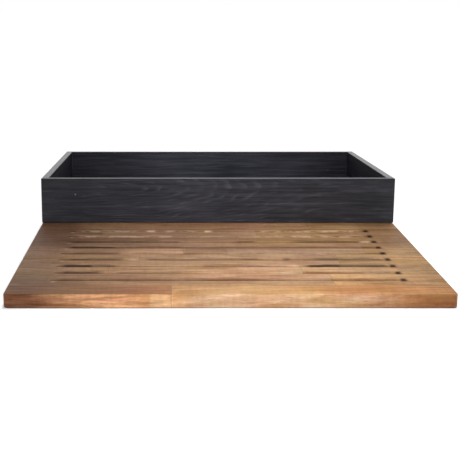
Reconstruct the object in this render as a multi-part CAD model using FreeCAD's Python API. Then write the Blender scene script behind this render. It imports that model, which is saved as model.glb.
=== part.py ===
import FreeCAD, Part

import math
import os

# Bread box with a cutting board.
#
# The box is an open tray of four thin walls round a loose-panel bottom. Its front and back run the
# full width and cover the ends of the two sides, and two hidden dowels hold each corner. The board is
# the box's loose cover. It is glued up from staves, and nine crumb grooves are routed into its top.
#
# The board lies flat on the table with its rear edge pushed a little way under the front of the box,
# so the box stands on the board in front, on the table behind, and leans back.
#
# Millimetres, +Z up, front towards -Y. The origin is on the table, under the middle of the whole.

# Box
box_width = 600.0
box_depth = 400.0
box_height = 76.0
wall = 12.0
wall_edge_round = 1.0

# Bottom panel, set in a groove round the walls
bottom_thickness = 6.0
bottom_height = 6.0
bottom_tongue = 5.0
bottom_end_play = 0.5
bottom_face_play = 0.2

# Corner dowels, glued into blind holes. The heights are from the top of the bottom panel to the lower
# dowel, and from the upper dowel to the rim.
dowel_diameter = 6.0
dowel_in_side = 22.0
dowel_cover = 4.5
dowel_above_bottom = 14.0
dowel_below_rim = 18.0
dowel_round_play = 0.05
dowel_end_play = 0.5

# Cutting board. Its outline is the box's.
board_thickness = 20.0
board_corner_round = 6.0
board_edge_round = 2.0

# Staves, from the front edge to the rear edge. The first row was cut narrower when the board was sized.
# Each row lists where it is butt-jointed, as shares of the board's width from its left end.
first_row_width = 37.0
row_joints = (
    (0.37,),
    (0.74,),
    (0.22, 0.68),
    (0.29, 0.78),
    (0.40, 0.86),
    (0.55,),
    (0.18, 0.60),
    (0.34, 0.75),
)
stave_names = {2: ("left", "right"), 3: ("left", "middle", "right")}

# Crumb grooves, routed with a ball-nosed cutter. Margins run from the front and rear edges of the board to
# the middle of the nearest groove, and from its ends to the ends of the grooves.
groove_count = 9
groove_front_margin = 62.0
groove_rear_margin = 68.0
groove_end_margin = 54.0
groove_depth = 3.0
cutter_radius = 5.0

# How the box stands on the board
box_overlap = 10.0
seat_gap = 0.3

# How far a cut runs past the face it starts from, and how near two points count as level
cut_past = 1.0
near = 0.01

# Sizes that follow
board_width = box_width
board_depth = box_depth
groove_pitch = (board_depth - groove_front_margin - groove_rear_margin) / (groove_count - 1)
inner_width = box_width - 2 * wall
dowel_in_panel = wall - dowel_cover - dowel_end_play
dowel_heights = (
    bottom_height + bottom_thickness + dowel_above_bottom,
    box_height - dowel_below_rim,
)

# The underside of the box just clears the rounded rear edge of the board. From the back bottom edge of
# the box, the centre of that rounding lies "run" along the underside and "drop" below it.
run = box_depth - box_overlap + board_edge_round
drop = board_edge_round + seat_gap
rounding_height = board_thickness - board_edge_round
lean = math.asin(rounding_height / math.hypot(run, drop)) + math.atan2(drop, run)

# Distances along Y from the rear edge of the board to the two ends of the whole, then places
heel_behind_board = run * math.cos(lean) + drop * math.sin(lean) - board_edge_round
rim_behind_board = heel_behind_board + box_height * math.sin(lean)
board_rear_y = (board_depth - rim_behind_board) / 2
board_front_y = board_rear_y - board_depth
box_heel_y = board_rear_y + heel_behind_board


def vector(x, y, z):
    return FreeCAD.Vector(x, y, z)


def block(low, high):
    """A box from its lowest corner to its highest."""
    size = [b - a for a, b in zip(low, high)]
    return Part.makeBox(*size, vector(*low))


def rounded(shape, radius, wanted):
    """The shape with each edge that wanted(start, end) picks rounded off."""
    edges = []
    for edge in shape.Edges:
        ends = [vertex.Point for vertex in edge.Vertexes]
        if len(ends) == 2 and wanted(*ends):
            edges.append(edge)
    return shape.makeFillet(radius, edges)


def upright(start, end):
    return abs(start.z - end.z) > near


def save(name, shape):
    solids = shape.Solids
    result = solids[0] if len(solids) == 1 else Part.makeCompound(solids)
    result.exportStep(os.path.join("parts", name + ".step"))
    print(f"{name}: {len(solids)} solid(s), {result.Volume / 1000:.2f} cm3")


# The box is made level, with its front bottom edge on the X axis, and leant back at the end.


def leant(shape):
    """The shape turned about the back bottom edge of the box, and set where the box stands."""
    turn = FreeCAD.Rotation(vector(1, 0, 0), -math.degrees(lean))
    heel = vector(0, box_depth, 0)
    stand = FreeCAD.Placement(vector(0, box_heel_y - box_depth, 0), turn, heel)
    return shape.transformed(stand.toMatrix(), True)


def walls():
    """The ring of four walls, with eased edges and the groove for the bottom panel."""
    half = box_width / 2
    outside = block((-half, 0, 0), (half, box_depth, box_height))
    outside = rounded(outside, wall_edge_round, lambda start, end: True)
    inside = block(
        (-inner_width / 2, wall, -cut_past),
        (inner_width / 2, box_depth - wall, box_height + cut_past),
    )
    ring = outside.cut(inside)

    def on_inner_rim(start, end):
        return all(
            abs(point.z - box_height) < near
            and abs(point.x) < inner_width / 2 + near
            and wall - near < point.y < box_depth - wall + near
            for point in (start, end)
        )

    ring = rounded(ring, wall_edge_round, on_inner_rim)
    groove_depth_in_wall = bottom_tongue + bottom_end_play
    groove = block(
        (-inner_width / 2 - groove_depth_in_wall, wall - groove_depth_in_wall, bottom_height),
        (
            inner_width / 2 + groove_depth_in_wall,
            box_depth - wall + groove_depth_in_wall,
            bottom_height + bottom_thickness + bottom_face_play,
        ),
    )
    return ring.cut(groove)


def dowel(side, facing, height, play_round, play_end):
    """One corner dowel, or with play its hole. side is -1 left or 1 right, facing -1 front or 1 back."""
    x = side * (box_width - wall) / 2
    joint_y = wall if facing < 0 else box_depth - wall
    outer_end = joint_y + facing * (dowel_in_panel + play_end)
    length = dowel_in_panel + dowel_in_side + 2 * play_end
    radius = dowel_diameter / 2 + play_round
    return Part.makeCylinder(radius, length, vector(x, outer_end, height), vector(0, -facing, 0))


def dowel_pair(side, facing, play_round=0.0, play_end=0.0):
    return [dowel(side, facing, height, play_round, play_end) for height in dowel_heights]


def make_box():
    corners = {
        "front_left": (-1, -1),
        "front_right": (1, -1),
        "back_left": (-1, 1),
        "back_right": (1, 1),
    }
    ring = walls()
    for side, facing in corners.values():
        ring = ring.cut(dowel_pair(side, facing, dowel_round_play, dowel_end_play))

    half = box_width / 2
    top = box_height
    panels = {
        "front_panel": ((-half, 0, 0), (half, wall, top)),
        "back_panel": ((-half, box_depth - wall, 0), (half, box_depth, top)),
        "left_side_panel": ((-half, wall, 0), (0, box_depth - wall, top)),
        "right_side_panel": ((0, wall, 0), (half, box_depth - wall, top)),
    }
    for name, (low, high) in panels.items():
        save(name, leant(ring.common(block(low, high))))

    bottom = block(
        (-inner_width / 2 - bottom_tongue, wall - bottom_tongue, bottom_height),
        (
            inner_width / 2 + bottom_tongue,
            box_depth - wall + bottom_tongue,
            bottom_height + bottom_thickness,
        ),
    )
    save("bottom_panel", leant(bottom))

    for corner, (side, facing) in corners.items():
        save("dowels_" + corner, leant(Part.makeCompound(dowel_pair(side, facing))))


def groove_cutter(y):
    """What a ball-nosed cutter clears along one groove: a rod with round ends."""
    axis_z = board_thickness - groove_depth + cutter_radius
    half_width = math.sqrt(cutter_radius**2 - (cutter_radius - groove_depth) ** 2)
    end_x = board_width / 2 - groove_end_margin - half_width
    centre = vector(0, y, axis_z)
    left = centre + vector(-end_x - cutter_radius, 0, 0)
    left_shoulder = centre + vector(-end_x, 0, cutter_radius)
    right_shoulder = centre + vector(end_x, 0, cutter_radius)
    right = centre + vector(end_x + cutter_radius, 0, 0)
    bend = cutter_radius * math.sqrt(0.5)
    left_bend = centre + vector(-end_x - bend, 0, bend)
    right_bend = centre + vector(end_x + bend, 0, bend)
    outline = Part.Wire(
        [
            Part.Arc(left, left_bend, left_shoulder).toShape(),
            Part.makeLine(left_shoulder, right_shoulder),
            Part.Arc(right_shoulder, right_bend, right).toShape(),
            Part.makeLine(right, left),
        ]
    )
    return Part.Face(outline).revolve(centre, vector(1, 0, 0), 360)


def make_board():
    half = board_width / 2
    board = block((-half, board_front_y, 0), (half, board_rear_y, board_thickness))
    board = rounded(board, board_corner_round, upright)
    board = rounded(board, board_edge_round, lambda start, end: not upright(start, end))

    first_y = board_front_y + groove_front_margin
    cutters = [groove_cutter(first_y + number * groove_pitch) for number in range(groove_count)]
    board = board.cut(cutters)

    row_width = (board_depth - first_row_width) / (len(row_joints) - 1)
    row_front = board_front_y
    for number, joints in enumerate(row_joints, start=1):
        row_rear = board_front_y + first_row_width + (number - 1) * row_width
        ends = [-half] + [share * board_width - half for share in joints] + [half]
        names = stave_names[len(ends) - 1]
        for place, left, right in zip(names, ends, ends[1:]):
            stave = board.common(block((left, row_front, 0), (right, row_rear, board_thickness)))
            save(f"stave_row_{number}_{place}", stave)
        row_front = row_rear


os.makedirs("parts", exist_ok=True)
make_box()
make_board()
print(f"The box leans back by {math.degrees(lean):.2f} degrees.")
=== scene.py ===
import math
import random

import bpy
import numpy as np
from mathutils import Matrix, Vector


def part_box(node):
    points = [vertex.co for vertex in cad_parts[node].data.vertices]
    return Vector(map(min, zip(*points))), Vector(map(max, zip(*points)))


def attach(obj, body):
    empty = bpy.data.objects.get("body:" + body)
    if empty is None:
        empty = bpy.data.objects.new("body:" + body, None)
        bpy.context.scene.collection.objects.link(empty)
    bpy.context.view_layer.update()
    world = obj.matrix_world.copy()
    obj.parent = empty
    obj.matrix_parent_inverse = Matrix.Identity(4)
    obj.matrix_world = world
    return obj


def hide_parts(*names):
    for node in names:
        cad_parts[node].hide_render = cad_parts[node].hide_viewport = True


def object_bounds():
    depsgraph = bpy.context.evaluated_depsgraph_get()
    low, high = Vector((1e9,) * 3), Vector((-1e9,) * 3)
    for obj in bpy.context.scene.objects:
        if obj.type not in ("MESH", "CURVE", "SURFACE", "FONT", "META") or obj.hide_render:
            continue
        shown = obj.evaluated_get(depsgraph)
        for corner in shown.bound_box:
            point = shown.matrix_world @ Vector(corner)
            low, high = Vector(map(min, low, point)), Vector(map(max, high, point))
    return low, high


# A shallow box of black-stained wood, leaning back on the rear edge of a stave-glued cutting board.
# Everything is in metres, +Z up, front towards -Y. Grain and marks are worked out in millimetres.

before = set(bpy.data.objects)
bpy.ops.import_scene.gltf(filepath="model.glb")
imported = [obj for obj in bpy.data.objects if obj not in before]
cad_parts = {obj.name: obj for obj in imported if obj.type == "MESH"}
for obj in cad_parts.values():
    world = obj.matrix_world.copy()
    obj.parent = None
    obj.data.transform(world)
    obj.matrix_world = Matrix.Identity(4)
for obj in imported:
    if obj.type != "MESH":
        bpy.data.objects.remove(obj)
cad_low, cad_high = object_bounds()

MM = 0.001
PER_MM = 1 / MM

# What counts as nothing where a division or a test needs it
TINY = 1e-6

# The board's edges and its routed crumb grooves
BOARD_CORNER_ROUND = 6 * MM
BOARD_EDGE_ROUND = 2 * MM
GROOVE_COUNT = 9
GROOVE_FRONT_MARGIN = 62 * MM
GROOVE_REAR_MARGIN = 68 * MM
GROOVE_END_MARGIN = 54 * MM
GROOVE_DEPTH = 3 * MM
CUTTER_RADIUS = 5 * MM

GROOVE_HALF_WIDTH = math.sqrt(CUTTER_RADIUS**2 - (CUTTER_RADIUS - GROOVE_DEPTH) ** 2)

stave_names = sorted(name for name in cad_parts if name.startswith("stave"))
stave_boxes = {name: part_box(name) for name in stave_names}
board_low = Vector(np.min([low for low, high in stave_boxes.values()], axis=0))
board_high = Vector(np.max([high for low, high in stave_boxes.values()], axis=0))
GROOVE_FIRST_Y = board_low.y + GROOVE_FRONT_MARGIN
GROOVE_PITCH = (board_high.y - GROOVE_REAR_MARGIN - GROOVE_FIRST_Y) / (GROOVE_COUNT - 1)
GROOVE_END_X = board_high.x - GROOVE_END_MARGIN - GROOVE_HALF_WIDTH


# Node trees


class Wiring:
    """A node tree being filled in. Each call adds nodes, feeds them and gives their output."""

    def __init__(self, tree):
        self.tree = tree

    def node(self, kind, feeds=None, **settings):
        made = self.tree.nodes.new(kind)
        for name, value in settings.items():
            setattr(made, name, value)
        for name, value in (feeds or {}).items():
            self.feed(live(made.inputs, name), value)
        return made

    def feed(self, socket, value):
        if isinstance(value, bpy.types.NodeSocket):
            self.tree.links.new(value, socket)
        else:
            socket.default_value = value

    def math(self, operation, *values, clamp=False):
        feeds = dict(enumerate(values))
        return self.node("ShaderNodeMath", feeds, operation=operation, use_clamp=clamp).outputs[0]

    def clamped(self, value):
        """The value, held between 0 and 1."""
        return self.math("ADD", value, 0.0, clamp=True)

    def add(self, *values):
        total = values[0]
        for value in values[1:]:
            total = self.math("ADD", total, value)
        return total

    def times(self, *values):
        total = values[0]
        for value in values[1:]:
            total = self.math("MULTIPLY", total, value)
        return total

    def less(self, value, taken):
        return self.math("SUBTRACT", value, taken)

    def around(self, value, middle, reach):
        """1 at the middle, falling smoothly to 0 at that reach on both sides."""
        off = self.math("ABSOLUTE", self.less(value, middle))
        return self.step(off, 0.0, reach, 1.0, 0.0)

    def vector(self, operation, *values):
        made = self.node("ShaderNodeVectorMath", dict(enumerate(values)), operation=operation)
        return live(made.outputs, 0)

    def distance(self, place, other):
        made = self.node("ShaderNodeVectorMath", {0: place, 1: other}, operation="DISTANCE")
        return live(made.outputs, 0)

    def parts(self, vector):
        return list(self.node("ShaderNodeSeparateXYZ", {0: vector}).outputs)

    def joined(self, x, y, z):
        return self.node("ShaderNodeCombineXYZ", {0: x, 1: y, 2: z}).outputs[0]

    def noise(self, vector, size, detail=2.0, roughness=0.5):
        """Noise from 0 to 1 whose lumps have this size along each axis of the vector."""
        spread = self.vector("MULTIPLY", vector, [1 / length for length in size])
        feeds = {"Vector": spread, "Scale": 1.0, "Detail": detail, "Roughness": roughness}
        return self.node("ShaderNodeTexNoise", feeds).outputs[0]

    def grain(self, vector, along, across, detail=2.0, roughness=0.5):
        """Noise whose lumps are this long along the grain and this thick across it."""
        return self.noise(vector, (along, across, across), detail, roughness)

    def swing(self, noise, reach):
        """Noise turned to swing evenly about 0, over this reach in all."""
        return self.times(self.less(noise, 0.5), reach)

    def weighted(self, parts, shares):
        """The sum of the named parts, each times its share."""
        return self.add(*[self.times(parts[name], share) for name, share in shares.items()])

    def swung(self, parts, reaches):
        """The sum of the named noises, each swinging over its reach."""
        return self.add(*[self.swing(parts[name], reach) for name, reach in reaches.items()])

    def step(self, value, start, end, low=0.0, high=1.0):
        """Low up to start, high from end, and a smooth change between them."""
        feeds = {"Value": value, "From Min": start, "From Max": end, "To Min": low, "To Max": high}
        return self.node("ShaderNodeMapRange", feeds, interpolation_type="SMOOTHSTEP").outputs[0]

    def mix(self, share, a, b, blend="MIX"):
        made = self.node("ShaderNodeMix", data_type="RGBA", blend_type=blend)
        for name, value in {"Factor": share, "A": a, "B": b}.items():
            self.feed(live(made.inputs, name), value)
        return live(made.outputs, 0)

    def tinted(self, color, tint):
        return self.mix(1.0, color, tint, blend="MULTIPLY")

    def shaded(self, color, factor):
        """The colour made darker or lighter by a factor."""
        return self.vector("MULTIPLY", color, self.joined(factor, factor, factor))

    def in_millimetres(self, place):
        return self.vector("MULTIPLY", place, (PER_MM, PER_MM, PER_MM))


def live(sockets, name):
    """The socket of that name, or at that place, among those that the node's settings leave on."""
    on = [socket for socket in sockets if socket.enabled]
    if isinstance(name, int):
        return on[name]
    return next(socket for socket in on if socket.name == name)


# Short words for the usual kinds of socket
SOCKETS = {"size": "NodeSocketFloat", "place": "NodeSocketVector", "color": "NodeSocketColor"}


def node_group(name, kind, inputs, outputs):
    """A node group with named inputs and outputs, and what its nodes read and fill."""
    tree = bpy.data.node_groups.new(name, kind)
    for side, sockets in (("INPUT", inputs), ("OUTPUT", outputs)):
        for socket, what in sockets.items():
            tree.interface.new_socket(socket, in_out=side, socket_type=SOCKETS.get(what, what))
    wires = Wiring(tree)
    given = wires.node("NodeGroupInput").outputs
    result = wires.node("NodeGroupOutput").inputs
    return tree, wires, given, result


def shaped(obj, tree, values):
    """Gives the object the mesh that the tree makes of it from these values."""
    modifier = obj.modifiers.new(tree.name, "NODES")
    modifier.node_group = tree
    for socket in tree.interface.items_tree:
        if socket.in_out == "INPUT" and socket.name in values:
            modifier[socket.identifier] = values[socket.name]
    blank = obj.data
    depsgraph = bpy.context.evaluated_depsgraph_get()
    mesh = bpy.data.meshes.new_from_object(obj.evaluated_get(depsgraph))
    obj.modifiers.remove(modifier)
    obj.data = mesh
    bpy.data.meshes.remove(blank)


def new_object(name, data):
    """An object in the scene with this mesh, light or camera."""
    obj = bpy.data.objects.new(name, data)
    bpy.context.scene.collection.objects.link(obj)
    return obj


def paint(red, green, blue):
    """A colour given as it looks on a screen, from 0 to 255, as the linear values that a shader takes."""

    def linear(value):
        value = value / 255
        return value / 12.92 if value <= 0.04045 else ((value + 0.055) / 1.055) ** 2.4

    return (linear(red), linear(green), linear(blue), 1.0)


# How much slower the rings change into the wood than across it, how ragged they are as a share of their
# spacing, and how strongly the faintest of them shows
RING_DEPTH_SHARE = 0.5
RING_RAGGEDNESS = 0.6
FAINTEST_RING = 0.3


def late_wood(wires, place, heart_across, rise, spacing, waver, onset):
    """How far each point lies in the dark late wood of its growth ring, from 0 to 1.

    The place is in millimetres, with the grain along its first axis. The heart of the tree lies at a place
    across the grain, and rise is how far below the surface it lies at each point. waver is how far the rings
    wander. onset says at which shares of a ring the late wood starts, is full, and starts to end.
    """
    _, across, depth = wires.parts(place)
    slow = wires.grain(place, along=120, across=26)
    quick = wires.grain(place, along=30, across=8)
    off_across = wires.add(wires.less(across, heart_across), wires.swing(slow, waver))
    off_depth = wires.add(wires.times(depth, RING_DEPTH_SHARE), rise)
    square = wires.add(wires.times(off_across, off_across), wires.times(off_depth, off_depth))
    ragged = wires.times(wires.swing(quick, spacing), RING_RAGGEDNESS)
    turns = wires.math("DIVIDE", wires.add(wires.math("SQRT", square), ragged), spacing)
    number = wires.math("FLOOR", turns)
    chance = wires.node("ShaderNodeTexWhiteNoise", {"W": number}, noise_dimensions="1D").outputs[0]
    strength = wires.add(FAINTEST_RING, wires.times(chance, 1 - FAINTEST_RING))
    through = wires.math("FRACT", turns)
    start, full, ending = onset
    late = wires.times(wires.step(through, start, full), wires.step(through, ending, 1.0, 1.0, 0.0))
    return wires.times(late, strength)


# The oiled stave wood


# Colours of open pores, of the grooves' darker stretches and painted end shade, of glue lines, and of paler
# wood and painted highlights
PORE_BROWN = paint(74, 46, 32)
DARK_AND_SHADE_BROWN = paint(54, 30, 22)
GLUE_BROWN = paint(70, 44, 30)
PALE_AND_HIGHLIGHT = paint(238, 206, 176)

# The tints that the wood turns between, and the noise at which it is all of the first and all of the second
ROSE = (1.02, 0.98, 1.07, 1.0)
STRAW = (0.985, 1.005, 0.94, 1.0)
TINT_TURNS = (0.36, 0.64)

# The grain of the staves: how long its lumps are along the grain and how thick across it, in millimetres,
# and the detail and the roughness of their noise
STAVE_GRAIN = {
    "streaks": (64, 6, 4, 0.6),
    "fibres": (26, 0.9, 3, 0.65),
    "flecks": (4.5, 1.5, 1, 0.5),
    "pores": (9, 0.5, 1, 0.5),
    "ripple": (6, 30, 2, 0.5),
    "cloud": (110, 40, 2, 0.5),
}
TINT_GRAIN = (80, 15, 2, 0.5)
PALE_PATCH_GRAIN = (15, 3.6, 4, 0.6)
STAVE_RINGS = {"waver": 24.0, "onset": (0.15, 0.80, 0.84)}

# What makes a stave deeper in tone, from pale at 0 to deep at 1
BASE_TONE = 0.28
LATE_WOOD_TONE = 0.42
STREAK_TONE = 1.7
CLOUD_TONE = 0.9

# How much more of the figure shows on the board's front edge, on the left and on the right, where along x
# the one turns into the other, and how far in from the edge that reaches, at all and full
FRONT_FIGURE = (1.0, 0.35)
FRONT_TURNS = (-120.0, -60.0)
FRONT_REACH = (2.5, 0.5)

# What makes a stave lighter, rougher and higher, and by how much
STAVE_LIGHT = {"fibres": 0.55, "flecks": 0.35, "ripple": 0.35}
BASE_ROUGHNESS = 0.46
STAVE_ROUGHNESS = {"fibres": 0.16, "open pores": 0.12, "late wood": -0.05}
STAVE_RELIEF = {"fibres": 0.35, "late wood": 0.15, "open pores": -0.6, "ripple": 0.25, "glue": -0.8}

# How strongly open pores, glue lines and the painted highlight on the grooves' front lips show, how much
# light a groove's bottom keeps under the painted shade in the grooves, and how dark the grooves' darker
# stretches and the painted shade at their right ends are, evenly and with the streaks of the grain
PORE_SHOWS = 0.4
GLUE_SHOWS = 0.4
LIP_HIGHLIGHT_SHOWS = 0.5
PAINTED_GROOVE_SHADE = 0.66
DARKENING_SHOWS = 0.72
DARKENING_STREAKS = 0.5

# Where pores and the paler patches start to show in their noise and where they are whole, and how far a glue
# line reaches from the joint, full and at all
STAVE_PORES = (0.62, 0.72)
PALE_PATCHES = (0.40, 0.58)
GLUE_REACH = (0.12, 0.45)

# What the staves' meshes say of each point besides its tone, from 0 to 1
MARKS = ("groove", "lip_highlight", "groove_dark_and_shade", "pale_and_lit")


def oiled_stave_wood():
    """Oiled hardwood with a soft figure and fine open grain, darker at the glue lines, with painted shade in
    the grooves and painted light and shade in its tone.
    """
    tree, wires, given, result = node_group(
        "oiled_stave_wood",
        "ShaderNodeTree",
        {
            "Shift": "place",
            "Heart Across": "size",
            "Heart Depth": "size",
            "Slant": "size",
            "Ring Spacing": "size",
            "Pale": "color",
            "Deep": "color",
            "Low": "place",
            "High": "place",
        },
        {"Color": "color", "Roughness": "size", "Height": "size"},
    )
    place = wires.in_millimetres(wires.node("ShaderNodeTexCoord").outputs["Object"])
    x, y, _ = wires.parts(place)
    shift_x, _, _ = wires.parts(given["Shift"])
    shifted = wires.vector("ADD", place, given["Shift"])
    along_log = wires.vector("ADD", place, wires.joined(shift_x, 0, 0))
    rise = wires.add(given["Heart Depth"], wires.times(x, given["Slant"]))
    heart, spacing = given["Heart Across"], given["Ring Spacing"]
    late = late_wood(wires, along_log, heart, rise, spacing, **STAVE_RINGS)
    grain = {name: wires.grain(shifted, *look) for name, look in STAVE_GRAIN.items()}

    from_front = wires.less(y, board_low.y * PER_MM)
    on_front = wires.step(from_front, *FRONT_REACH)
    figure = wires.add(1.0, wires.times(on_front, wires.step(x, *FRONT_TURNS, *FRONT_FIGURE)))
    depth_of_tone = wires.add(
        BASE_TONE,
        wires.times(late, figure, LATE_WOOD_TONE),
        wires.times(wires.swing(grain["streaks"], STREAK_TONE), figure),
        wires.swing(grain["cloud"], CLOUD_TONE),
    )
    color = wires.mix(wires.clamped(depth_of_tone), given["Pale"], given["Deep"])
    far_across = (0, 500, 0)
    elsewhere = wires.vector("ADD", shifted, far_across)
    turned = wires.step(wires.grain(elsewhere, *TINT_GRAIN), *TINT_TURNS)
    color = wires.tinted(color, wires.mix(turned, ROSE, STRAW))
    color = wires.shaded(color, wires.add(1.0, wires.swung(grain, STAVE_LIGHT)))
    open_pores = wires.step(grain["pores"], *STAVE_PORES)
    color = wires.mix(wires.times(open_pores, PORE_SHOWS), color, PORE_BROWN)
    # The tone stored on the mesh, with its painted light and shade.
    tone_and_light = wires.node("ShaderNodeAttribute", attribute_name="tone_and_light").outputs["Color"]
    color = wires.tinted(color, tone_and_light)

    low_x, low_y, _ = wires.parts(given["Low"])
    high_x, high_y, _ = wires.parts(given["High"])
    to_joint = wires.math("MINIMUM", wires.less(x, low_x), wires.less(high_x, x))
    to_seam = wires.math("MINIMUM", wires.less(y, low_y), wires.less(high_y, y))
    glue = wires.step(wires.math("MINIMUM", to_joint, to_seam), *GLUE_REACH, GLUE_SHOWS, 0.0)
    color = wires.mix(glue, color, GLUE_BROWN)

    # The paler stretches and the painted highlights at the grooves' left ends show in ragged patches, and
    # whole where the mark is strongest.
    marks = {name: wires.node("ShaderNodeAttribute", attribute_name=name).outputs["Fac"] for name in MARKS}
    # The grooves get painted shade towards their bottoms, and a painted highlight along their front lips.
    color = wires.shaded(color, wires.step(marks["groove"], 0.0, 0.4, 1.0, PAINTED_GROOVE_SHADE))
    color = wires.mix(wires.times(marks["lip_highlight"], LIP_HIGHLIGHT_SHOWS), color, given["Pale"])
    ragged = wires.step(wires.grain(place, *PALE_PATCH_GRAIN), *PALE_PATCHES)
    whole = wires.math("MAXIMUM", ragged, wires.step(marks["pale_and_lit"], 0.8, 0.95))
    color = wires.mix(wires.times(marks["pale_and_lit"], whole), color, PALE_AND_HIGHLIGHT)
    streaked = wires.add(DARKENING_SHOWS, wires.times(grain["streaks"], DARKENING_STREAKS))
    darkening = wires.times(marks["groove_dark_and_shade"], streaked)
    color = wires.mix(wires.clamped(darkening), color, DARK_AND_SHADE_BROWN)

    parts = grain | {"late wood": late, "open pores": open_pores, "glue": glue}
    rough = wires.add(BASE_ROUGHNESS, wires.weighted(parts, STAVE_ROUGHNESS))
    height = wires.weighted(parts, STAVE_RELIEF)
    for name, value in {"Color": color, "Roughness": rough, "Height": height}.items():
        wires.feed(result[name], value)
    return tree


def finished(name, group, values, relief, lustre):
    """A material whose colour, roughness and relief come from a wood group with these values."""
    material = bpy.data.materials.new(name)
    material.use_nodes = True
    tree = material.node_tree
    wires = Wiring(tree)
    shader = tree.nodes["Principled BSDF"]
    wood = wires.node("ShaderNodeGroup", node_tree=group)
    for socket, value in values(wires).items():
        wires.feed(wood.inputs[socket], value)
    bump = wires.node("ShaderNodeBump", {"Height": wood.outputs["Height"], "Distance": relief})
    wires.feed(shader.inputs["Base Color"], wood.outputs["Color"])
    wires.feed(shader.inputs["Roughness"], wood.outputs["Roughness"])
    wires.feed(shader.inputs["Normal"], bump.outputs[0])
    shader.inputs["Specular IOR Level"].default_value = lustre
    return material


# The pale and deep tones of the wood
TAN = (paint(228, 184, 140), paint(168, 116, 76))
ROSE_TAN = (paint(227, 183, 144), paint(167, 115, 80))
HONEY = (paint(227, 184, 132), paint(167, 116, 70))
PEACH = (paint(234, 188, 136), paint(190, 134, 80))
RED_BROWN = (paint(212, 152, 106), paint(146, 88, 54))

# For the rows of staves, counted from the front: a row's tones, those of its right end, and how light it is
ROW_TONES = {1: (RED_BROWN, PEACH), 5: (ROSE_TAN, HONEY), 6: (ROSE_TAN, HONEY), 7: (ROSE_TAN, HONEY)}
OTHER_ROWS = (TAN, HONEY)
# The rear row's extra lightness is painted light, against the shade that the box casts on it.
ROW_LIGHTNESS = {1: 0.98, 2: 0.90, 3: 1.05, 4: 1.0, 5: 0.93, 6: 0.84, 7: 0.90, 8: 1.26}

# How much the staves differ in lightness, in where along and how deep in the log they were sawn, in how far
# across and below the log's heart lay, in how fast the grain runs out, and in how far apart the rings lie
STAVE_LIGHTNESS = (0.97, 1.03)
ALONG_LOG = (-4000, 4000)
INTO_LOG = (-2000, 2000)
HEART_ACROSS = (-34, 34)
HEART_DEPTH = (4, 46)
SLANT = (0.03, 0.12)
RING_SPACING = (6.0, 12.0)


def stave_material(name, group, chance):
    """The stave's own tone, and its own place in the tree that it was sawn from."""
    low, high = stave_boxes[name]
    row = int(name.split("_")[2])
    pale, deep = ROW_TONES.get(row, OTHER_ROWS)[name.endswith("right")]
    own = ROW_LIGHTNESS[row] * chance.uniform(*STAVE_LIGHTNESS)
    middle_y = (low.y + high.y) / 2 * PER_MM

    # The board's own edges aren't glued, so there the stave's bounds move out of reach.
    beyond = 40 * MM
    low_x = low.x - beyond * (low.x < board_low.x + MM)
    low_y = low.y - beyond * (low.y < board_low.y + MM)
    high_x = high.x + beyond * (high.x > board_high.x - MM)
    high_y = high.y + beyond * (high.y > board_high.y - MM)
    values = {
        "Shift": (chance.uniform(*ALONG_LOG), 0, chance.uniform(*INTO_LOG)),
        "Heart Across": middle_y + chance.uniform(*HEART_ACROSS),
        "Heart Depth": chance.uniform(*HEART_DEPTH),
        "Slant": chance.choice((-1, 1)) * chance.uniform(*SLANT),
        "Ring Spacing": chance.uniform(*RING_SPACING),
        "Pale": [own * value for value in pale[:3]] + [1],
        "Deep": [own * value for value in deep[:3]] + [1],
        "Low": (low_x * PER_MM, low_y * PER_MM, 0),
        "High": (high_x * PER_MM, high_y * PER_MM, 0),
    }
    return finished("oiled_" + name, group, lambda wires: values, relief=0.25 * MM, lustre=0.2)


# The board's staves


def lines_between(start, end, wanted):
    """The wanted grid lines that lie between the two ends, with the ends themselves."""
    least_gap = 0.05 * MM
    lines = [start]
    for value in sorted(wanted):
        if start + least_gap < value < end - least_gap and value > lines[-1] + least_gap:
            lines.append(value)
    return np.array(lines + [end])


def edge_offsets():
    """How far in from the board's outline the grid lines run that its rounded edges and corners need."""
    turn = 15
    corner_lines = 5
    angles = [math.radians(angle) for angle in range(0, 90 + turn, turn)]
    over_edge = [BOARD_EDGE_ROUND * (1 - math.cos(angle)) for angle in angles]
    return over_edge + list(np.linspace(BOARD_EDGE_ROUND, BOARD_CORNER_ROUND, corner_lines))


def groove_offsets():
    """How far from a groove's middle line the grid lines run that its round bottom and crisp lips need."""
    inside = [GROOVE_HALF_WIDTH * share for share in (0, 0.25, 0.5, 0.72, 0.88, 0.97, 1.0)]
    outside = [GROOVE_HALF_WIDTH + more * MM for more in (0.15, 0.8, 2.2)]
    return inside + outside


def board_lines():
    """Grid lines along and across the board, closer together where its shape turns."""
    step_along = 3 * MM
    step_across = 8 * MM
    along = list(np.arange(board_low.x, board_high.x, step_along))
    across = list(np.arange(board_low.y, board_high.y, step_across))
    for offset in edge_offsets():
        along += [board_low.x + offset, board_high.x - offset]
        across += [board_low.y + offset, board_high.y - offset]
    for offset in groove_offsets():
        along += [GROOVE_END_X + offset, -GROOVE_END_X - offset]
        for number in range(GROOVE_COUNT):
            y = GROOVE_FIRST_Y + number * GROOVE_PITCH
            across += [y - offset, y + offset]
    return along, across


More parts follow.
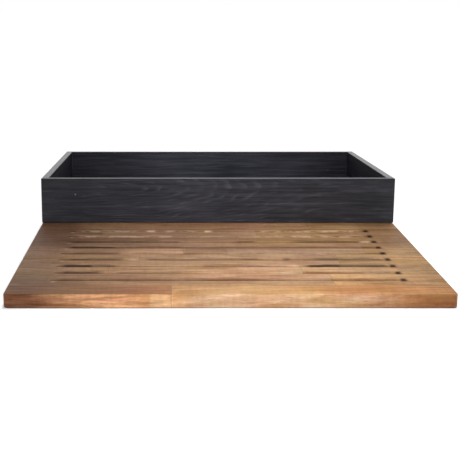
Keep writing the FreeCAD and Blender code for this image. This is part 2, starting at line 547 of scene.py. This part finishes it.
def closed_slab(name, along, across, low_z, high_z):
    """A closed block with a grid of faces on its top and bottom."""
    columns, rows = len(along), len(across)
    x, y = np.meshgrid(along, across)
    layer = columns * rows
    points = [np.stack([x.ravel(), y.ravel(), np.full(layer, z)], axis=1) for z in (high_z, low_z)]
    number = np.arange(layer).reshape(rows, columns)
    corners = [number[:-1, :-1], number[:-1, 1:], number[1:, 1:], number[1:, :-1]]
    top = np.stack(corners, axis=-1).reshape(-1, 4)
    rim = np.concatenate([number[0, :-1], number[:-1, -1], number[-1, :0:-1], number[:0:-1, 0]])
    after = np.roll(rim, -1)
    sides = np.stack([rim, rim + layer, after + layer, after], axis=1)
    bottom = top[:, ::-1] + layer
    mesh = bpy.data.meshes.new(name)
    mesh.from_pydata(np.concatenate(points).tolist(), [], np.concatenate([top, bottom, sides]).tolist())
    return mesh


def routed_stave():
    """Rounds the board's outer corners and edges on a stave blank, and routes the grooves that cross it."""
    tree, wires, given, result = node_group(
        "routed_stave",
        "GeometryNodeTree",
        {
            "Blank": "NodeSocketGeometry",
            "Board Low": "place",
            "Board High": "place",
            "Corner Round": "size",
            "Edge Round": "size",
            "First Groove": "size",
            "Groove Pitch": "size",
            "Groove Count": "size",
            "Groove End": "size",
            "Groove Depth": "size",
            "Cutter Radius": "size",
            "Lip From": "size",
            "Lip Width": "size",
            "Unsteadiness": "size",
            "Finish": "NodeSocketMaterial",
        },
        {"Stave": "NodeSocketGeometry"},
    )
    place = wires.node("GeometryNodeInputPosition").outputs[0]
    x, y, z = wires.parts(place)
    both = wires.vector("ADD", given["Board Low"], given["Board High"])
    middle = wires.vector("MULTIPLY", both, (0.5, 0.5, 0.5))
    half = wires.vector("SUBTRACT", given["Board High"], middle)
    mid_x, mid_y, mid_z = wires.parts(middle)
    half_x, half_y, _ = wires.parts(half)

    def into_corner(value, mid, half_size):
        """The side that the point is on, where the round corner starts, and how far the point is into it."""
        off = wires.less(value, mid)
        side = wires.math("SIGN", off)
        start = wires.less(half_size, given["Corner Round"])
        reach = wires.less(wires.math("ABSOLUTE", off), start)
        share = wires.math("DIVIDE", wires.math("MAXIMUM", reach, 0.0), given["Corner Round"])
        return side, start, reach, share

    side_x, start_x, reach_x, share_x = into_corner(x, mid_x, half_x)
    side_y, start_y, reach_y, share_y = into_corner(y, mid_y, half_y)

    # Within a corner, squares round its centre turn into circles.
    larger = wires.math("MAXIMUM", share_x, share_y)
    smaller = wires.math("MINIMUM", share_x, share_y)
    angle = wires.times(wires.math("DIVIDE", smaller, wires.math("MAXIMUM", larger, TINY)), math.pi / 4)
    longer = wires.times(larger, wires.math("COSINE", angle), given["Corner Round"])
    shorter = wires.times(larger, wires.math("SINE", angle), given["Corner Round"])
    x_leads = wires.math("GREATER_THAN", share_x, share_y)
    y_leads = wires.less(1.0, x_leads)
    corner_x = wires.add(wires.times(x_leads, longer), wires.times(y_leads, shorter))
    corner_y = wires.add(wires.times(y_leads, longer), wires.times(x_leads, shorter))

    def rounded(side, start, reach, corner, mid):
        out = wires.add(start, wires.math("MINIMUM", reach, 0.0), corner)
        return wires.add(mid, wires.times(side, out))

    new_x = rounded(side_x, start_x, reach_x, corner_x, mid_x)
    new_y = rounded(side_y, start_y, reach_y, corner_y, mid_y)

    inward = wires.times(wires.less(1.0, larger), given["Corner Round"])
    short_of = wires.math("MAXIMUM", wires.less(given["Edge Round"], inward), 0.0)
    squares = wires.less(
        wires.times(given["Edge Round"], given["Edge Round"]),
        wires.times(short_of, short_of),
    )
    drop = wires.less(given["Edge Round"], wires.math("SQRT", wires.math("MAXIMUM", squares, 0.0)))

    from_first = wires.less(new_y, given["First Groove"])
    count = wires.math("ROUND", wires.math("DIVIDE", from_first, given["Groove Pitch"]))
    last = wires.less(given["Groove Count"], 1.0)
    count = wires.math("MINIMUM", wires.math("MAXIMUM", count, 0.0), last)
    off_y = wires.less(from_first, wires.times(count, given["Groove Pitch"]))
    off_x = wires.math("MAXIMUM", wires.less(wires.math("ABSOLUTE", new_x), given["Groove End"]), 0.0)
    tremor = wires.grain(place, along=14 * MM, across=11 * MM, detail=1)
    from_line = wires.math("SQRT", wires.add(wires.times(off_x, off_x), wires.times(off_y, off_y)))
    from_line = wires.add(from_line, wires.swing(tremor, given["Unsteadiness"]))
    from_line = wires.math("MAXIMUM", from_line, 0.0)
    ball = wires.less(
        wires.times(given["Cutter Radius"], given["Cutter Radius"]),
        wires.times(from_line, from_line),
    )
    shoulder = wires.less(given["Cutter Radius"], given["Groove Depth"])
    depth = wires.less(wires.math("SQRT", wires.math("MAXIMUM", ball, 0.0)), shoulder)
    depth = wires.math("MAXIMUM", depth, 0.0)

    face = wires.math("SIGN", wires.less(z, mid_z))
    on_top = wires.math("MAXIMUM", face, 0.0)
    depth = wires.times(depth, on_top)
    new_z = wires.less(wires.less(z, wires.times(face, drop)), depth)
    moved = wires.node(
        "GeometryNodeSetPosition",
        {"Geometry": given["Blank"], "Position": wires.joined(new_x, new_y, new_z)},
    )
    share = wires.math("DIVIDE", depth, given["Groove Depth"])
    # Where the painted highlight along each groove's front lip goes, just in front of the groove.
    before_lip = wires.less(wires.times(off_y, -1.0), given["Lip From"])
    within = wires.around(before_lip, given["Lip Width"], given["Lip Width"])
    lip_highlight = wires.times(within, on_top, wires.math("LESS_THAN", off_x, TINY))
    stored = moved
    for attribute, value in (("groove", share), ("lip_highlight", lip_highlight)):
        stored = wires.node(
            "GeometryNodeStoreNamedAttribute",
            {"Geometry": stored.outputs[0], "Name": attribute, "Value": value},
            data_type="FLOAT",
            domain="POINT",
        )
    real = wires.node("GeometryNodeRealizeInstances", {0: stored.outputs[0]})
    finish = wires.node("GeometryNodeSetMaterial", {0: real.outputs[0], "Material": given["Finish"]})
    wires.feed(result["Stave"], finish.outputs[0])
    return tree


# Where the grooves are darker, mostly behind their middle, and where the wood is paler just behind them:
# groove, counted from the front, x from, x to, and how strong
DARK_STRETCHES = (
    (1, -240, 240, 0.42),
    (2, -240, -172, 0.74),
    (2, -160, -60, 0.35),
    (2, 60, 240, 0.30),
    (3, -243, -184, 1.00),
    (3, -200, -150, 0.60),
    (3, -36, 96, 0.30),
    (3, 112, 176, 1.00),
    (3, 150, 240, 0.74),
    (4, -236, -146, 0.55),
    (4, -120, 60, 0.40),
    (4, 84, 100, 0.55),
    (4, 128, 240, 0.50),
    (5, -236, -150, 0.45),
    (5, 20, 150, 0.25),
    (6, -243, -158, 0.90),
    (6, -170, 60, 0.48),
    (6, 40, 240, 0.36),
    (7, -240, -60, 0.60),
    (7, 20, 60, 0.60),
    (7, 110, 226, 0.50),
    (8, -100, 60, 0.20),
)
PALE_STRETCHES = (
    (2, 70, 96, 0.55),
    (2, 190, 234, 0.50),
    (4, -144, -126, 0.60),
    (5, -30, 160, 0.45),
    (7, 214, 240, 0.80),
    (8, -238, -60, 0.70),
    (8, -60, 110, 0.45),
    (8, 110, 234, 0.70),
    (9, -240, -130, 0.60),
    (9, -126, -98, 1.00),
    (9, -96, -34, 0.60),
    (9, -30, -10, 1.00),
    (9, 64, 234, 0.75),
)

# How softly a mark fades at its ends
MARK_FADE = 12.0

# From where to where the right end of each groove has painted shade, counted from that end, and the same for
# the painted highlight at its left end
END_SHADE = (-10.0, 2.0)
END_HIGHLIGHT = (1.0, 11.0)

# The lengths of the two waves that a mark wanders in
QUICK_WAVE = 9.0
SLOW_WAVE = 23.0


def marks_on(points, marks, reach, wander, behind):
    """How strong the marks along the grooves are at each point of the board's top, from 0 to 1.

    They reach that far from a line that wanders about, that far behind the middle of the groove.
    """
    x = points[:, 0] * PER_MM
    y = points[:, 1] * PER_MM
    strength = np.zeros(len(points))
    for number, start, end, strong in marks:
        middle = (GROOVE_FIRST_Y + (number - 1) * GROOVE_PITCH) * PER_MM + behind
        wave = np.sin(x / QUICK_WAVE + number) + np.sin(x / SLOW_WAVE + 2 * number)
        middle = middle + wander * wave
        fade = min(MARK_FADE, (end - start) / 3)
        along = np.clip(np.minimum(x - start, end - x) / fade, 0, 1)
        across = np.clip(reach - np.abs(y - middle), 0, 1)
        np.maximum(strength, along * across * strong, out=strength)
    return strength * (points[:, 2] > (board_low.z + board_high.z) / 2)


# Where the board looks darker or paler than its wood: x from, x to, distance from the front edge from, to,
# how softly that fades along x and along y, and the share of red, green and blue that is left. These were
# set until the board's brightness and colour came near the photo's, place by place. So several of them are
# painted light and shade, not the wood: the darker left rear and left margin, the darker strip along the
# box, the paler pool in the front half, and the bright and dark stretches along the front edge.
TONES_AND_PAINTED_LIGHT = (
    # Painted shade: the darker left rear
    (-400, -215, 240, 500, 90, 60, (0.62, 0.58, 0.56)),
    # Painted shade: darker along the box
    (-400, 30, 325, 500, 160, 30, (0.86, 0.84, 0.84)),
    (-240, 30, 307, 322, 30, 8, (0.80, 0.77, 0.76)),
    (-240, 190, 276, 290, 40, 8, (0.82, 0.79, 0.78)),
    (-250, -110, 225, 296, 50, 10, (0.84, 0.84, 0.84)),
    (-150, -60, 198, 230, 20, 6, (1.28, 1.28, 1.26)),
    (110, 230, 96, 190, 40, 20, (0.86, 0.86, 0.88)),
    (-240, -150, 335, 360, 40, 10, (0.80, 0.82, 0.82)),
    (70, 190, 335, 360, 40, 10, (0.80, 0.78, 0.74)),
    # Painted shade: the darker left margin, in the next four
    (-400, -236, 60, 150, 30, 30, (0.84, 0.86, 0.82)),
    (-400, -236, 186, 500, 12, 3, (0.84, 0.82, 0.84)),
    (-400, -215, -90, 80, 110, 50, (0.64, 0.61, 0.61)),
    (-400, -236, 91, 186, 30, 8, (0.88, 0.86, 0.90)),
    (-58, 8, 200, 228, 1, 3, (0.86, 0.82, 0.78)),
    # Painted shade: darker along the box
    (-120, 60, 325, 500, 60, 20, (0.84, 0.80, 0.80)),
    # Painted light: the paler pool in the front half
    (-60, 240, 66, 134, 120, 40, (1.22, 1.24, 1.28)),
    (110, 400, 2, 37, 160, 2, (0.90, 0.72, 0.55)),
    (-400, -150, 2, 37, 120, 2, (0.93, 1.05, 1.12)),
    (-120, 220, 96, 230, 80, 40, (1.01, 1.05, 1.11)),
    # Painted light and shade: the bright and dark stretches along the front edge, in the next four
    (-400, -252, -90, 1, 40, 1, (0.86, 0.84, 1.0)),
    (-252, -122, -90, 1, 40, 1, (1.50, 1.72, 1.90)),
    (-106, -78, -90, 1, 6, 1, (1.30, 1.60, 1.90)),
    (-60, 400, -90, 1, 40, 1, (0.77, 0.84, 1.00)),
    (144, 400, 37, 89, 2, 2, (1.16, 1.12, 1.06)),
    # Painted shade: the darker right end of the front edge
    (200, 400, -90, 1, 120, 1, (0.72, 0.49, 0.35)),
    (243, 400, 91, 140, 3, 3, (0.84, 0.82, 0.84)),
    (243, 400, 140, 187, 3, 3, (1.12, 1.12, 0.98)),
    (236, 400, 250, 500, 40, 60, (0.82, 0.80, 0.84)),
)

# How much red, green and blue the board loses along its lowest edge, painted shade where the board meets the
# floor, what share of that shows where the rounding of the edge starts, and how fast it grows down the
# rounding
FOOT_SHADE_LOSS = np.array((0.74, 0.66, 0.54))
FOOT_START = 0.1
FOOT_GROWTH = 2.7


def board_tone_and_light(points):
    """The share of red, green and blue that the wood keeps at each point, with painted light and shade from
    the patches and along the lowest edge.
    """
    x = points[:, 0] * PER_MM
    y = (points[:, 1] - board_low.y) * PER_MM
    tone_and_light = np.ones((len(points), 3))
    for x_from, x_to, y_from, y_to, fade_x, fade_y, tint in TONES_AND_PAINTED_LIGHT:
        along = np.minimum(x - x_from, x_to - x) / fade_x
        across = np.minimum(y - y_from, y_to - y) / fade_y
        inside = np.clip(along + 0.5, 0, 1) * np.clip(across + 0.5, 0, 1)
        inside = inside * inside * (3 - 2 * inside)
        tone_and_light *= 1 + inside[:, None] * (np.array(tint) - 1)
    # Painted shade along the lowest edge, where the board meets the floor.
    low, high = np.array(board_low.xy), np.array(board_high.xy)
    from_edge = np.minimum(points[:, :2] - low, high - points[:, :2]).min(axis=1)
    nearly = 0.99
    on_rounding = from_edge < nearly * BOARD_EDGE_ROUND
    down_rounding = 1 - (points[:, 2] - board_low.z) / BOARD_EDGE_ROUND
    foot_shade = np.clip(FOOT_START + FOOT_GROWTH * down_rounding, 0, 1) * on_rounding
    return tone_and_light * (1 - foot_shade[:, None] * FOOT_SHADE_LOSS)


def mark(mesh):
    """Stores the grooves' darker stretches with the painted shade at their right ends, their paler stretches
    with the painted highlight at their left ends, and the wood's tone with its painted light and shade.
    """
    points = np.empty(len(mesh.vertices) * 3)
    mesh.vertices.foreach_get("co", points)
    points = points.reshape(-1, 3)
    end = (GROOVE_END_X + GROOVE_HALF_WIDTH) * PER_MM
    numbers = range(1, GROOVE_COUNT + 1)
    # The right end of each groove gets painted shade, and its left end a painted highlight.
    shaded_right_ends = [(number, end + END_SHADE[0], end + END_SHADE[1], 1.0) for number in numbers]
    lit_left_ends = [(number, -end + END_HIGHLIGHT[0], -end + END_HIGHLIGHT[1], 1.0) for number in numbers]
    darker_and_shaded = np.maximum(
        marks_on(points, DARK_STRETCHES, reach=5.8, wander=0.8, behind=2.0),
        marks_on(points, shaded_right_ends, reach=7.2, wander=0.0, behind=0.6),
    )
    pale_and_lit = np.maximum(
        marks_on(points, PALE_STRETCHES, reach=6.5, wander=0.8, behind=1.0),
        marks_on(points, lit_left_ends, reach=4.8, wander=0.0, behind=-3.5),
    )
    for kind, strength in (("groove_dark_and_shade", darker_and_shaded), ("pale_and_lit", pale_and_lit)):
        mesh.attributes.new(kind, "FLOAT", "POINT").data.foreach_set("value", strength)
    tone_and_light = mesh.attributes.new("tone_and_light", "FLOAT_COLOR", "POINT")
    tone_and_light.data.foreach_set("color", np.column_stack([board_tone_and_light(points), np.ones(len(points))]).ravel())


def smoothed(mesh):
    """Smooth shading that stays sharp where the faces turn by more than the crease angle."""
    crease = math.radians(32)
    mesh.shade_smooth()
    mesh.set_sharp_from_angle(angle=crease)


# What the random draws start from, for the staves and for the panels
BOARD_SEED = 11
BOX_SEED = 5


def cutting_board():
    along, across = board_lines()
    tree = routed_stave()
    group = oiled_stave_wood()
    chance = random.Random(BOARD_SEED)
    sizes = {
        "Board Low": board_low,
        "Board High": board_high,
        "Corner Round": BOARD_CORNER_ROUND,
        "Edge Round": BOARD_EDGE_ROUND,
        "First Groove": GROOVE_FIRST_Y,
        "Groove Pitch": GROOVE_PITCH,
        "Groove Count": float(GROOVE_COUNT),
        "Groove End": GROOVE_END_X,
        "Groove Depth": GROOVE_DEPTH,
        "Cutter Radius": CUTTER_RADIUS,
        "Lip From": GROOVE_HALF_WIDTH - 0.3 * MM,
        "Lip Width": 1.1 * MM,
        "Unsteadiness": 0.9 * MM,
    }
    for name in stave_names:
        low, high = stave_boxes[name]
        lines_x = lines_between(low.x, high.x, along)
        lines_y = lines_between(low.y, high.y, across)
        stave = new_object("oiled_" + name, closed_slab(name, lines_x, lines_y, low.z, high.z))
        shaped(stave, tree, sizes | {"Finish": stave_material(name, group, chance)})
        mark(stave.data)
        smoothed(stave.data)
        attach(stave, "cutting_board")
        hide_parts(name)


# The black-stained box


STAIN = paint(34, 35, 41)
STAIN_THIN = paint(94, 94, 103)
BARE_WOOD = paint(214, 204, 196)

# The grain of the box's wood, as for the staves
BOX_GRAIN = {
    "fibres": (50, 0.9, 3, 0.65),
    "streaks": (120, 5, 4, 0.6),
    "cloud": (130, 36, 2, 0.5),
    "pores": (16, 0.45, 1, 0.5),
    "wisps": (46, 10, 3, 0.5),
    "wave": (34, 400, 2, 0.5),
}
BOX_RINGS = {"waver": 28.0, "onset": (0.40, 0.86, 0.88)}

# What makes the stain thinner, the wood rougher and the surface higher, and by how much
STAIN_THINS = {"fibres": 0.75, "streaks": 0.90, "cloud": 0.45}
BOX_ROUGHNESS = {"fibres": 0.10, "open pores": 0.10, "pale rim": -0.6}
BOX_RELIEF = {"late wood": 0.5, "fibres": 0.4, "open pores": -0.6, "bare wood": -2.0}

# Where pores and wisps start to show in their noise and where they are whole, and what share of the rings
# shows between the wisps
BOX_PORES = (0.60, 0.70)
WISPS = (0.42, 0.66)
BETWEEN_WISPS = 0.15

# How strongly the light streak and a glued corner show, how dark the pores are, how far the streak wanders,
# and how far from their middles the streak, the glued corner and the nick reach, in millimetres
STREAK_SHOWS = 0.22
CORNER_SHOWS = 0.16
PORE_DARK = 0.3
STREAK_WANDER = 7.0
STREAK_REACH = 1.1
CORNER_REACH = 1.6
NICK_REACH = (0.5, 2.0)

# How far below the rim its paleness starts and is full, between which places along the front panel the
# streak sets in, and between which heights a glued corner does
RIM_PALENESS = (0.9, 0.1)
STREAK_SETS_IN = (10.0, 60.0)
CORNER_SETS_IN = (20.0, 62.0)


def black_stained_wood():
    """Softly shining black stain, thinner in wisps along the grain, and paler on the rim."""
    tree, wires, given, result = node_group(
        "black_stained_wood",
        "ShaderNodeTree",
        {
            "Place": "place",
            "Shift": "place",
            "Heart Across": "size",
            "Taper From": "size",
            "Taper To": "size",
            "Taper": "size",
            "Ring Spacing": "size",
            "Figure": "size",
            "Base Roughness": "size",
            "Nick": "place",
            "Bare": "size",
            "Rim": "size",
            "Rim Paleness": "size",
            "Stain Thinness": "size",
            "Light Streak": "size",
            "Glued Corner": "size",
        },
        {"Color": "color", "Roughness": "size", "Height": "size"},
    )
    place = given["Place"]
    along, across, _ = wires.parts(place)
    shifted = wires.vector("ADD", place, given["Shift"])
    rise = wires.times(wires.step(along, given["Taper From"], given["Taper To"]), given["Taper"])
    heart, spacing = given["Heart Across"], given["Ring Spacing"]
    late = late_wood(wires, place, heart, rise, spacing, **BOX_RINGS)
    grain = {name: wires.grain(shifted, *look) for name, look in BOX_GRAIN.items()}
    late = wires.times(late, wires.step(grain["wisps"], *WISPS, BETWEEN_WISPS, 1.0))
    open_pores = wires.step(grain["pores"], *BOX_PORES)

    # The rim is paler, and one long streak of the front panel took less stain.
    rim = wires.step(wires.less(given["Rim"], across), *RIM_PALENESS)
    pale_rim = wires.times(rim, given["Rim Paleness"])
    wave = wires.swing(grain["wave"], STREAK_WANDER)
    streak = wires.around(across, wires.add(given["Light Streak"], wave), STREAK_REACH)
    streak = wires.times(streak, wires.step(along, *STREAK_SETS_IN), STREAK_SHOWS)
    figure = wires.times(late, given["Figure"])
    thin = wires.add(given["Stain Thinness"], pale_rim, streak, figure, wires.swung(grain, STAIN_THINS))
    color = wires.mix(wires.clamped(thin), STAIN, STAIN_THIN)
    color = wires.shaded(color, wires.less(1.0, wires.times(open_pores, PORE_DARK)))

    # Bare wood shows faintly where a corner was glued, and at a small nick.
    corner = wires.around(along, given["Glued Corner"], CORNER_REACH)
    corner = wires.times(corner, wires.step(across, *CORNER_SETS_IN), CORNER_SHOWS)
    color = wires.mix(corner, color, BARE_WOOD)
    nick = wires.step(wires.distance(place, given["Nick"]), *NICK_REACH, 1.0, 0.0)
    bare = wires.times(nick, given["Bare"])
    color = wires.mix(bare, color, BARE_WOOD)

    parts = grain | {"late wood": late, "open pores": open_pores, "pale rim": pale_rim, "bare wood": bare}
    rough = wires.add(given["Base Roughness"], wires.weighted(parts, BOX_ROUGHNESS))
    height = wires.weighted(parts, BOX_RELIEF)
    for name, value in {"Color": color, "Roughness": rough, "Height": height}.items():
        wires.feed(result[name], value)
    return tree


def box_level():
    """The box's lean, and where its lower front edge lies along y and z once the box is turned level."""
    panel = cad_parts["front_panel"].data
    clearly_forwards = -0.5
    largest = max(panel.polygons, key=lambda face: face.area * (face.normal.y < clearly_forwards))
    lean = math.atan2(largest.normal.z, -largest.normal.y)
    points = np.empty(len(panel.vertices) * 3)
    panel.vertices.foreach_get("co", points)
    y, z = points.reshape(-1, 3)[:, 1], points.reshape(-1, 3)[:, 2]
    front = (y * math.cos(lean) - z * math.sin(lean)).min()
    underside = (y * math.sin(lean) + z * math.cos(lean)).min()
    return lean, front, underside


def black_material(name, group, axes, face, lustre, values):
    """The stain on one panel. axes are the panel's own length, height and thickness directions."""
    lean, front, underside = box_level()

    def feeds(wires):
        object_place = wires.node("ShaderNodeTexCoord").outputs["Object"]
        level = wires.node("ShaderNodeMapping", {"Vector": object_place, "Rotation": (lean, 0, 0)})
        from_corner = wires.vector("SUBTRACT", level.outputs[0], (0, front, underside))
        parts = wires.parts(wires.in_millimetres(from_corner))
        along, across, depth = [parts["xyz".index(axis)] for axis in axes]
        return values | {"Place": wires.joined(along, across, wires.less(depth, face))}

    return finished(name, group, feeds, relief=0.12 * MM, lustre=lustre)


# The box's sizes in millimetres, and a place far off it. Places on it are given along x from its middle,
# along y from its front and along z from its underside.
BOX_WIDTH = 600.0
BOX_DEPTH = 400.0
BOX_HEIGHT = 76.0
WALL = 12.0
BOTTOM_TOP = 12.0
NOWHERE = -1000.0

# For each panel: the directions of its length, height and thickness, where its face lies along the last of
# them, and how much its stain shines
PANELS = {
    "front_panel": ("xzy", 0.0, 0.25),
    "back_panel": ("xzy", BOX_DEPTH - WALL, 0.25),
    "left_side_panel": ("yzx", WALL - BOX_WIDTH / 2, 0.08),
    "right_side_panel": ("yzx", BOX_WIDTH / 2 - WALL, 0.08),
    "bottom_panel": ("xyz", BOTTOM_TOP, 0.25),
}

# The stain of a panel, apart from what each panel has of its own. The heart of the tree lies at a height on
# the panel, and the log tapers from one place along it to another.
PLAIN_STAIN = {
    "Rim": BOX_HEIGHT,
    "Rim Paleness": 0.10,
    "Stain Thinness": 0.14,
    "Nick": (0.0, 0.0, NOWHERE),
    "Bare": 0.0,
    "Light Streak": NOWHERE,
    "Glued Corner": NOWHERE,
}
# The side panels' stain is left at full strength, darker than the other panels': painted shade for the shade
# on the box's inner ends.
SIDE_STAIN = {"Rim Paleness": 0.74, "Stain Thinness": 0.0, "Figure": 0.20, "Base Roughness": 0.62}
OWN_STAIN = {
    "front_panel": {
        "Heart Across": 61.0,
        "Taper From": -260.0,
        "Taper To": 210.0,
        "Taper": 66.0,
        "Ring Spacing": 4.8,
        "Figure": 0.36,
        "Base Roughness": 0.36,
        "Nick": (-242.2, 48.8, 0.0),
        "Bare": 0.5,
        "Light Streak": 33.0,
    },
    "back_panel": {
        "Heart Across": 150.0,
        "Taper From": 300.0,
        "Taper To": -260.0,
        "Taper": 16.0,
        "Ring Spacing": 4.0,
        "Figure": 0.20,
        "Base Roughness": 0.40,
        "Nick": (248.0, 38.2, 0.0),
        "Bare": 0.12,
        "Glued Corner": WALL - BOX_WIDTH / 2,
    },
    "left_side_panel": SIDE_STAIN | {
        "Heart Across": 30.0,
        "Taper From": 30.0,
        "Taper To": 380.0,
        "Taper": 50.0,
        "Ring Spacing": 4.4,
    },
    "right_side_panel": SIDE_STAIN | {
        "Heart Across": 50.0,
        "Taper From": 360.0,
        "Taper To": 60.0,
        "Taper": 54.0,
        "Ring Spacing": 4.8,
    },
    "bottom_panel": {
        "Heart Across": 200.0,
        "Taper From": -300.0,
        "Taper To": 300.0,
        "Taper": 90.0,
        "Ring Spacing": 5.5,
        "Figure": 0.30,
        "Base Roughness": 0.40,
        "Rim Paleness": 0.0,
    },
}


def dress(obj, material):
    obj.data.materials.clear()
    obj.data.materials.append(material)


def bread_box():
    group = black_stained_wood()
    chance = random.Random(BOX_SEED)
    half_log = 3000
    for name, (axes, face, lustre) in PANELS.items():
        shift = (chance.uniform(-half_log, half_log), 0, 0)
        values = PLAIN_STAIN | OWN_STAIN[name] | {"Shift": shift}
        material = black_material("stained_" + name, group, axes, face, lustre, values)
        dress(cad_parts[name], material)


RAW_PALE = paint(222, 194, 158)
RAW_DEEP = paint(186, 150, 112)


def raw_hardwood():
    """Pale raw wood with fine fibres along the dowels."""
    material = bpy.data.materials.new("raw_hardwood")
    material.use_nodes = True
    wires = Wiring(material.node_tree)
    shader = material.node_tree.nodes["Principled BSDF"]
    place = wires.node("ShaderNodeTexCoord").outputs["Object"]
    fibres = wires.noise(place, (0.6 * MM, 30 * MM, 0.6 * MM), detail=3)
    wires.feed(shader.inputs["Base Color"], wires.mix(fibres, RAW_PALE, RAW_DEEP))
    wires.feed(shader.inputs["Roughness"], wires.add(0.5, wires.times(fibres, 0.2)))
    bump = wires.node("ShaderNodeBump", {"Height": fibres, "Distance": 0.1 * MM})
    wires.feed(shader.inputs["Normal"], bump.outputs[0])
    return material


cutting_board()
bread_box()
dowel_wood = raw_hardwood()
for name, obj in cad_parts.items():
    if name.startswith("dowels"):
        dress(obj, dowel_wood)


# Stage


PAPER = (0.8, 0.8, 0.8, 1.0)
WHITE = (1.0, 1.0, 1.0, 1.0)


def floor():
    """A pale floor that is white to the camera and keeps the object's shadow."""
    half = 15.0
    below_board = 0.2 * MM
    mesh = bpy.data.meshes.new("floor")
    corners = [(-half, -half), (half, -half), (half, half), (-half, half)]
    mesh.from_pydata([(x, y, -below_board) for x, y in corners], [], [(0, 1, 2, 3)])
    obj = new_object("floor", mesh)

    material = bpy.data.materials.new("pale_floor")
    material.use_nodes = True
    tree = material.node_tree
    tree.nodes.clear()
    wires = Wiring(tree)
    paper = wires.node("ShaderNodeBsdfDiffuse", {"Color": PAPER})
    x, y, _ = wires.parts(wires.node("ShaderNodeTexCoord").outputs["Object"])
    beside = wires.math("MAXIMUM", wires.less(wires.math("ABSOLUTE", x), cad_high.x), 0.0)
    beyond = wires.math("MAXIMUM", wires.less(wires.math("ABSOLUTE", y), cad_high.y), 0.0)
    away = wires.math("SQRT", wires.add(wires.times(beside, beside), wires.times(beyond, beyond)))

    # The floor's own white is weaker close to the object's outline, which paints a shadow round it and lets
    # its shadow show there.
    at_outline, nearby, far_off = 0.50, 0.965, 1.0
    close_by = wires.step(away, 0.0, 6 * MM, at_outline, nearby)
    brighter = wires.add(close_by, wires.step(away, 50 * MM, 400 * MM, 0.0, far_off - nearby))
    lift = wires.node("ShaderNodeEmission", {"Color": WHITE, "Strength": brighter})
    lifted = wires.node("ShaderNodeAddShader", {0: paper.outputs[0], 1: lift.outputs[0]})
    ray = wires.node("ShaderNodeLightPath")
    seen = wires.math("MAXIMUM", ray.outputs["Is Camera Ray"], ray.outputs["Is Glossy Ray"])
    mixed = wires.node("ShaderNodeMixShader", {0: seen, 1: paper.outputs[0], 2: lifted.outputs[0]})
    wires.node("ShaderNodeOutputMaterial", {"Surface": mixed.outputs[0]})
    obj.data.materials.append(material)


def surroundings(ambient):
    """White to the camera and in reflections, and a softer even light on the object."""
    world = bpy.data.worlds.new("studio")
    bpy.context.scene.world = world
    world.use_nodes = True
    world.node_tree.nodes.clear()
    wires = Wiring(world.node_tree)
    ray = wires.node("ShaderNodeLightPath")
    seen = wires.math("MAXIMUM", ray.outputs["Is Camera Ray"], ray.outputs["Is Glossy Ray"])
    seen = wires.math("MAXIMUM", seen, ray.outputs["Is Transmission Ray"])
    strength = wires.add(wires.times(seen, 1 - ambient), ambient)
    sky = wires.node("ShaderNodeBackground", {"Color": WHITE, "Strength": strength})
    wires.node("ShaderNodeOutputWorld", {"Surface": sky.outputs[0]})


def lamp(name, place, aim, size, watts, spread=180):
    """An oblong lamp that lights the object and isn't mirrored in it."""
    light = bpy.data.lights.new(name, "AREA")
    light.spread = math.radians(spread)
    light.shape = "RECTANGLE"
    light.size, light.size_y = size
    light.energy = watts
    obj = new_object(name, light)
    obj.location = place
    obj.rotation_euler = (Vector(aim) - Vector(place)).to_track_quat("-Z", "Y").to_euler()
    obj.visible_glossy = False


def camera():
    """Looks straight along +Y and down, from in front and a little left of the middle."""
    place = Vector((-74.3, -1593.7, 410.9)) * MM
    down = 14.25
    picture = 460
    focal_pixels = 956.7
    axis_column = 174.19
    data = bpy.data.cameras.new("camera")
    data.sensor_width = 36.0
    data.lens = focal_pixels / picture * data.sensor_width
    data.shift_x = (picture / 2 - axis_column) / picture
    obj = new_object("camera", data)
    obj.location = place
    obj.rotation_euler = (math.radians(90 - down), 0, 0)
    bpy.context.scene.camera = obj


floor()
surroundings(ambient=0.06)

# Four lamps light the board, one the back panel of the box, and one the rims from behind.
lamp("key_lamp", (0.13, -0.72, 0.38), aim=(0.08, -0.25, 0.0), size=(0.2, 0.2), watts=1.2)
lamp("front_lamp", (0.12, -0.95, 0.45), aim=(0.06, -0.36, 0.0), size=(0.25, 0.25), watts=0.35, spread=50)
lamp("left_lamp", (-1.0, -1.9, 0.16), aim=(-0.25, -0.4, 0.01), size=(0.3, 0.15), watts=0.28, spread=30)
lamp("right_lamp", (0.35, 0.20, 0.55), aim=(0.10, -0.20, 0.0), size=(0.25, 0.25), watts=0.35, spread=80)
lamp("box_lamp", (0.0, -0.5, 0.75), aim=(0.0, 0.39, 0.06), size=(0.3, 0.3), watts=0.42, spread=32)
lamp("rear_lamp", (0.0, 1.7, 0.9), aim=(0.0, 0.3, 0.05), size=(1.6, 0.8), watts=1.5)

camera()
bpy.context.scene.view_settings.view_transform = "Standard"
